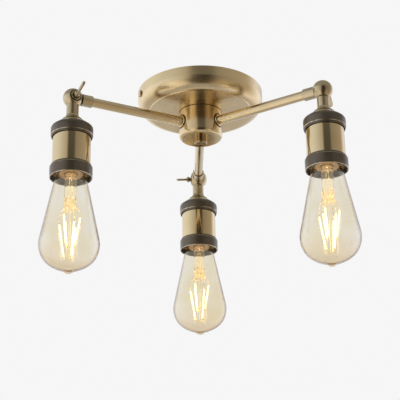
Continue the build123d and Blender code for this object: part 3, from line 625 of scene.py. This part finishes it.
# ---------------------------------------------------------------- glass stem
# A clear glass rod hangs from the neck's flare, is pinched flat round the wires and ends
# in a thin pillar that holds the sticks' feet.
stem_sections = np.array(
    [
        # depth below the ball, half width, half thickness
        (80.0, 0.0, 0.0),
        (80.0, 10.7, 10.7),
        (80.0, 11.7, 11.7),
        (85.0, 11.6, 11.6),
        (87.0, 10.4, 10.4),
        (89.0, 8.2, 8.2),
        (91.5, 6.7, 6.7),
        (96.0, 6.4, 6.4),
        (112.0, 6.4, 6.4),
        (118.0, 6.2, 5.2),
        (121.0, 5.6, 3.2),
        (124.0, 5.0, 2.1),
        (127.5, 4.6, 1.9),
        (128.6, 3.2, 1.5),
        (129.4, 1.4, 1.1),
        (131.0, 1.0, 1.0),
        (184.0, 1.0, 1.0),
        (184.8, 1.5, 1.5),
        (185.6, 0.9, 0.9),
        (185.9, 0.0, 0.0),
    ]
)


def flattened_points(sections, arm, steps=64):
    """Points of a rod whose section changes along it.

    At depth d with half width a and half thickness b, the point at angle t is
    (a cos t, b sin t, -d), so a circle flattens where b drops below a.
    """
    angle = np.linspace(0, 2 * np.pi, steps, endpoint=False)[None, :]
    depth, wide, thick = (sections[:, k : k + 1] for k in range(3))
    points = np.stack((wide * np.cos(angle), thick * np.sin(angle), -depth + 0 * angle), axis=-1)
    return points + head_axis(arm)


# Painted light: the stem's golden tint and faint glow stand for the sticks' warm light on the
# glass.
clear_glass = {
    "Transmission Weight": 1.0,
    "IOR": 1.18,
    "Emission Color": (1.0, 0.84, 0.58, 1.0),
    "Emission Strength": 0.07,
}
clear = new_finish("stem_glass", (0.99, 0.93, 0.78), 0.0, 0.06, clear_glass)
relief(clear, cloud(clear, 700.0, detail=2.0), strength=0.15, distance=0.0002)
for arm in arm_azimuths:
    mesh = grid_mesh(f"glass_stem_{arm}", flattened_points(stem_sections[::-1], arm), False)
    finished_piece(
        f"glass_stem_{arm}", mesh, clear,
        f"bulb_{arm}", "clear_glass", f"bulb_stem_{arm}",
    )


# ---------------------------------------------------------------- filament sticks
# Six glowing sticks hang round the pillar in two tiers, three high and three low. Each
# is a thin strip coated with yellow phosphor, with a metal tab and a wire at both ends.
stick_count = 6
stick_radius = 0.8
stick_top_reach = 11.0
stick_tiers = [(62.0, 31.0, 6.0), (54.5, 17.5, 5.2)]  # top and foot heights, foot reach
even_length = 32.0  # over which the rounding of the ends is shared out
wire_radius = 0.3
wire_steps = 16
pinch_wire = (1.3, 74.5)  # reach and height of an upper wire's start
pinch_bend = (10.4, 74.0)
pillar_reach, pillar_drop = 0.8, 1.6  # a lower wire's start, below its stick's foot
foot_share, foot_drop = 0.8, 2.2  # its bend, as a share of the foot's reach
tab_radii = np.array((0.0, 0.6, 0.95, 0.95, 0.6, 0.0))
tab_reaches = np.array((-1.0, -0.95, -0.4, 0.9, 1.3, 1.35))
lead_spread = 2.6  # reach of the two wires in the stem
lead_bends = [(-1.0, -66.0), (0.4, -88.0), (0.8, -122.0)]  # share of it and level on the way
anchor_count = 4
anchor_radius = 0.24
anchor_steps = 260


def tube_points(paths, across, radii, sides):
    """Points of round tubes along paths.

    At each path point c with direction d, the ring point at angle t is
    c + r (cos t u + sin t d x u), where u is the tube's fixed sideways direction.
    """
    angle = np.linspace(0, 2 * np.pi, sides, endpoint=False)[None, None, :, None]
    heading = np.gradient(paths, axis=1)
    heading /= np.linalg.norm(heading, axis=-1, keepdims=True)
    u = np.broadcast_to(across[:, None, :], paths.shape)
    v = np.cross(heading, u)
    ring = np.cos(angle) * u[:, :, None] + np.sin(angle) * v[:, :, None]
    return paths[:, :, None] + np.asarray(radii)[None, :, None, None] * ring


def tubes_mesh(name, groups):
    """One mesh of many tubes, each a grid of points whose ends shrink to poles."""
    edit = bmesh.new()
    for points in groups:
        for tube in points:
            single = grid_mesh(name, tube, False)
            edit.from_mesh(single)
            bpy.data.meshes.remove(single)
    mesh = bpy.data.meshes.new(name)
    edit.to_mesh(mesh)
    edit.free()
    return mesh


def bent_paths(start, middle, end):
    """Curves (1-s)^2 A + 2 s (1-s) M + s^2 B, one for each row of the three arrays."""
    s = np.linspace(0, 1, wire_steps)[None, :, None]
    a, m, b = start[:, None], middle[:, None], end[:, None]
    return (1 - s) ** 2 * a + 2 * s * (1 - s) * m + s**2 * b


def pointed(radius, steps):
    """A tube's radii: the same all along, but nothing at both ends."""
    radii = np.full(steps, radius)
    radii[[0, -1]] = 0.0
    return radii


angle = 2 * np.pi * np.arange(stick_count) / stick_count
outward = np.stack((np.cos(angle), np.sin(angle), 0 * angle), axis=-1)
sideways = np.stack((-np.sin(angle), np.cos(angle), 0 * angle), axis=-1)
top_height, foot_height, foot_reach = np.array([stick_tiers[k % 2] for k in range(stick_count)]).T
up = np.array((0.0, 0.0, 1.0))


def stick_place(reach, height):
    """Points at a reach from the bulb's axis and a height above its tip, one per stick."""
    return outward * np.reshape(reach, (-1, 1)) + up * (np.reshape(height, (-1, 1)) - bulb_tip)


# A stick's ends are rounded by rings at half r (1 - cos t) from the end with radius r sin t.
stick_head = stick_place(stick_top_reach, top_height)
stick_foot = stick_place(foot_reach, foot_height)
end_turn = np.linspace(0, np.pi / 2, 5)
end_rise = 0.5 * stick_radius * (1 - np.cos(end_turn))
end_radii = stick_radius * np.sin(end_turn)
stick_step = np.concatenate((end_rise, even_length - end_rise[::-1])) / even_length
stick_radii = np.concatenate((end_radii, end_radii[::-1]))
stick_path = stick_head[:, None] + stick_step[None, :, None] * (stick_foot - stick_head)[:, None]
sticks = tube_points(stick_path, sideways, stick_radii, 12)

wire_radii = pointed(wire_radius, wire_steps)
upper_paths = bent_paths(stick_place(*pinch_wire), stick_place(*pinch_bend), stick_head)
upper_wires = tube_points(upper_paths, sideways, wire_radii, 8)
pillar_end = stick_place(pillar_reach, foot_height - pillar_drop)
lower_bend = stick_place(foot_reach * foot_share, foot_height - foot_drop)
lower_wires = tube_points(bent_paths(pillar_end, lower_bend, stick_foot), sideways, wire_radii, 8)
lean = (stick_foot - stick_head) / np.linalg.norm(stick_foot - stick_head, axis=1, keepdims=True)
tab_step = tab_reaches[None, :, None] * lean[:, None]
top_tabs = tube_points(stick_head[:, None] + tab_step, sideways, tab_radii, 10)
foot_tabs = tube_points(stick_foot[:, None] - tab_step, sideways, tab_radii, 10)

lead_side = np.array([(lead_spread, 0.0), (-lead_spread, 0.0)])
lead_across = np.array([(0.0, 1.0, 0.0)] * 2)
lead_points = [np.column_stack((lead_side * share, (z, z))) for share, z in lead_bends]
lead_wires = tube_points(bent_paths(*lead_points), lead_across, wire_radii, 8)

# Fine anchor wires wind round the pinch in waves. At angle t wire k has the reach
# 4.8 + 2.2 sin(11 t + 1.7 k) and the depth 119 + 3.6 k + 2.2 cos(9 t + k).
spin = np.linspace(0, 2 * np.pi, anchor_steps)[None, :]
wire = np.arange(anchor_count)[:, None]
loop_reach = 4.8 + 2.2 * np.sin(11 * spin + 1.7 * wire)
loop_depth = 119.0 + 3.6 * wire + 2.2 * np.cos(9 * spin + wire)
anchors = np.stack((loop_reach * np.cos(spin), loop_reach * np.sin(spin), -loop_depth), axis=-1)
anchor_across = np.array([(0.0, 0.0, 1.0)] * anchor_count)
anchor_wires = tube_points(anchors, anchor_across, pointed(anchor_radius, anchor_steps), 5)

lit = {"Emission Color": (1.0, 0.84, 0.42, 1.0), "Emission Strength": 3.2}
glow = new_finish("lit_phosphor", (0.95, 0.78, 0.30), 0.0, 0.5, lit)
# Painted glints: the wires glow in scattered specks that stand for the sticks' light catching them.
warm = {"Emission Color": (1.0, 0.80, 0.40, 1.0)}
wire_metal = new_finish("wire_metal", (0.90, 0.70, 0.40), 1.0, 0.25, warm)
painted_glints = spread(wire_metal, cloud(wire_metal, 800.0, detail=2.0), 0.0, 2.2, start=0.50, end=0.66)
link(wire_metal, painted_glints, "Emission Strength")
wire_tones = (0.86, 0.62, 0.32), (0.98, 0.80, 0.50)
two_tone(wire_metal, cloud(wire_metal, 400.0), *wire_tones, start=0.35, end=0.65)
wire_groups = [upper_wires, lower_wires, top_tabs, foot_tabs, lead_wires, anchor_wires]
for arm in arm_azimuths:
    axis = head_axis(arm)
    mesh = tubes_mesh(f"filament_sticks_{arm}", [sticks + axis])
    finished_piece(
        f"filament_sticks_{arm}", mesh, glow,
        f"bulb_{arm}", "filament_yellow", f"bulb_filaments_{arm}",
    )
    mesh = tubes_mesh(f"filament_wires_{arm}", [group + axis for group in wire_groups])
    finished_piece(f"filament_wires_{arm}", mesh, wire_metal, f"bulb_{arm}", "filament_yellow")


# ---------------------------------------------------------------- studio
# The light hangs in a pale room with a large bright side to the left, a dark gap behind
# the camera and a dimmer right side, which polished brass needs to look like metal.
backdrop = (0.922, 0.922, 0.922)
floor_level = -2.4
floor_half = 0.9


def in_sight(finish):
    """1 for what is seen directly or through glass, 0 for light and reflections."""
    rays = add_node(finish, "LightPath", {}).outputs
    return combine(finish, "MAXIMUM", rays["Is Camera Ray"], rays["Is Transmission Ray"])


studio = bpy.data.worlds.new("studio")
studio.use_nodes = True
bpy.context.scene.world = studio
direction = add_node(studio, "TexCoord", {}).outputs["Generated"]
parts = add_node(studio, "SeparateXYZ", {0: direction}).outputs
toward = combine(studio, "MULTIPLY", parts["Y"], -1.0)
bearing = combine(studio, "ARCTAN2", parts["X"], toward)
turn = spread(studio, bearing, 0.0, 1.0, start=-math.pi, end=math.pi)


def wall_light(tint, stops):
    """Ramp round the room. A stop is (degrees from the front, brightness)."""
    bands = [((degrees + 180) / 360, tuple(grey * c for c in tint)) for degrees, grey in stops]
    return add_ramp(studio, turn, bands)


level = wall_light(
    (1.0, 1.0, 1.0),
    [(-180, 0.94), (-120, 1.08), (-90, 1.02), (-60, 0.84), (-23, 0.56), (-14, 0.05)]
    + [(19, 0.05), (31, 0.31), (95, 0.50), (125, 1.20), (155, 0.72)],
)
below = wall_light(
    (1.0, 0.91, 0.80),
    [(-180, 0.54), (-140, 0.50), (-110, 0.92), (-60, 1.12), (-32, 0.78), (-22, 0.05)]
    + [(20, 0.05), (36, 0.50), (95, 0.52), (130, 1.05), (158, 0.54)],
)
warmth = [
    # share of the turn from behind, tint
    (0.0, (1.0, 1.0, 1.05)),
    (0.30, (1.0, 1.0, 1.0)),
    (0.40, (1.0, 0.95, 0.87)),
    (0.45, (1.0, 0.86, 0.68)),
    (0.76, (1.0, 0.85, 0.67)),
    (0.84, (1.0, 1.02, 1.12)),
]
down = spread(studio, parts["Z"], 0.0, 1.0, start=-0.06, end=-0.50)
high = spread(studio, parts["Z"], 0.0, 1.0, start=0.36, end=0.72)
wall = blend(studio, down, level, below)
wall = blend(studio, 1.0, wall, add_ramp(studio, turn, warmth), blend_type="MULTIPLY")
room = blend(studio, high, wall, (0.42, 0.40, 0.35))
shown = blend(studio, in_sight(studio), room, backdrop)
studio.node_tree.links.new(shown, studio.node_tree.nodes["Background"].inputs["Color"])

floor_paint = new_finish("floor_paint", (0.80, 0.79, 0.77), 0.0, 0.8)
painted = floor_paint.node_tree.nodes["Principled BSDF"].outputs[0]
pale = add_node(floor_paint, "Emission", {"Color": (*backdrop, 1.0)}).outputs[0]
both = add_node(floor_paint, "MixShader", {0: in_sight(floor_paint), 1: painted, 2: pale})
surface = floor_paint.node_tree.nodes["Material Output"].inputs["Surface"]
floor_paint.node_tree.links.new(both.outputs[0], surface)
floor_mesh = bpy.data.meshes.new("floor")
floor_sides = [(-1, -1), (1, -1), (1, 1), (-1, 1)]
floor_corners = [(x * floor_half, y * floor_half, floor_level) for x, y in floor_sides]
floor_mesh.from_pydata(floor_corners, [], [(0, 1, 2, 3)])
floor_mesh.materials.append(floor_paint)
floor = bpy.data.objects.new("floor", floor_mesh)
bpy.context.scene.collection.objects.link(floor)

camera = bpy.data.objects.new("camera", bpy.data.cameras.new("camera"))
bpy.context.scene.collection.objects.link(camera)
bpy.context.scene.camera = camera
camera_place = (-0.03554, -1.32276, -0.66999)
forward = Vector((0.02355569, 0.92575443, 0.37739085)).normalized()
upward = Vector((0.00490425, -0.37759806, 0.92595661)).normalized()
turn_axes = Matrix((forward.cross(upward), upward, -forward)).transposed().to_4x4()
camera.matrix_world = Matrix.Translation(camera_place) @ turn_axes
camera.data.sensor_width = 36.0
camera.data.lens = 115.76
bpy.context.scene.view_settings.view_transform = "Standard"
